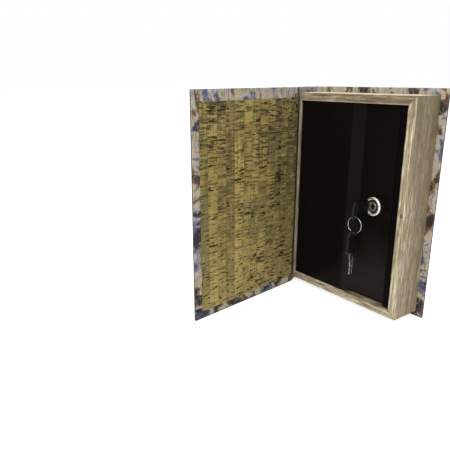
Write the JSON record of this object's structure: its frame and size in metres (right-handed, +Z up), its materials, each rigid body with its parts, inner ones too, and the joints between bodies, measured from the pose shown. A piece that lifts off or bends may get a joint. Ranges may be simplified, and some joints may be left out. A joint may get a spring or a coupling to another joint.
{
  "type": "book diversion safe",
  "caption": "Hardback book with a hollow wood-grain page block that hides a black steel box with a key-locked door behind a cork-lined front cover.",
  "frame": {"origin": "middle of the bottom edge of the back cover board, on the surface the book stands on", "axes": "+Z up along the spine; +Y from the page block out through the back cover; +X from the spine towards the fore-edge of the page block"},
  "size_m": [0.1879, 0.2238, 0.265],
  "materials": {
    "cover_board": "dense grey-brown book board",
    "cover_print": "printed covering paper, satin, aged parchment colours inside a dark brown border",
    "cork": "cork paper in narrow strips, matt",
    "frame_wood": "wood-grain board, greyed oak, matt",
    "box_steel": "black satin powder coat",
    "lock_chrome": "polished chrome plate",
    "zinc": "zinc plated",
    "magnet": "nickel plated, dull",
    "key_plastic": "black, satin gloss",
    "key_steel": "nickel plated, bright"
  },
  "bodies": {
    "book": {"frame_left": "frame_wood", "frame_right": "frame_wood", "frame_bottom": "frame_wood", "frame_top": "frame_wood", "frame_magnet": "magnet", "back_cover_board": "cover_board", "back_cover_wrap": "cover_print", "back_joint_strip": "cover_print", "spine_board": "cover_board", "spine_wrap": "cover_print", "box_body": "box_steel", "box_bottom": "box_steel", "box_top": "box_steel", "strike_strip": "box_steel", "hinge_pin_lower": "zinc", "hinge_pin_upper": "zinc", "box_screw_left_1": "zinc", "box_screw_left_2": "zinc", "box_screw_right_1": "zinc", "box_screw_right_2": "zinc"},
    "front_cover": {"front_cover_board": "cover_board", "front_cover_wrap": "cover_print", "front_joint_strip": "cover_print", "cork_lining": "cork", "cover_keeper": "magnet"},
    "door": {"door_panel": "box_steel", "lock_body": "lock_chrome", "lock_washer": "zinc", "lock_nut": "zinc"},
    "plug": {"lock_plug": "lock_chrome", "lock_cam": "zinc", "cam_screw": "zinc"},
    "key": {"key_1_head": "key_plastic", "key_1_blade": "key_steel"},
    "ring": {"key_ring": "key_steel"},
    "spare_key": {"key_2_head": "key_plastic", "key_2_blade": "key_steel"}
  },
  "joints": [
    {"name": "cover_hinge", "type": "hinge", "parent": "book", "child": "front_cover", "pos_m": [-0.0921, -0.04685, 0.1325], "axis": [0, 0, -1], "range_deg": [-66.4, 96.6]},
    {"name": "door_hinge", "type": "hinge", "parent": "book", "child": "door", "pos_m": [-0.084, -0.04105, 0.1324], "axis": [0, 0, -1], "range_deg": [0, 67]},
    {"name": "plug_turn", "type": "hinge", "parent": "door", "child": "plug", "pos_m": [0.0289, -0.03885, 0.1323], "axis": [0, -1, 0], "range_deg": [0, 90]},
    {"name": "key_withdraw", "type": "slide", "parent": "plug", "child": "key", "axis": [0, -1, 0], "range_m": [0, 0.03]},
    {"name": "ring_hang", "type": "hinge", "parent": "key", "child": "ring", "pos_m": [0.0289, -0.06795, 0.12105], "axis": [0, -1, 0], "range_deg": [-90, 0]},
    {"name": "spare_key_swing", "type": "hinge", "parent": "ring", "child": "spare_key", "pos_m": [0.0289, -0.06795, 0.10607], "axis": [-1, 0, 0], "range_deg": [-25, 60]}
  ],
  "couplings": [
    {"joint": "ring_hang", "follows": "plug_turn", "ratio": -1}
  ]
}
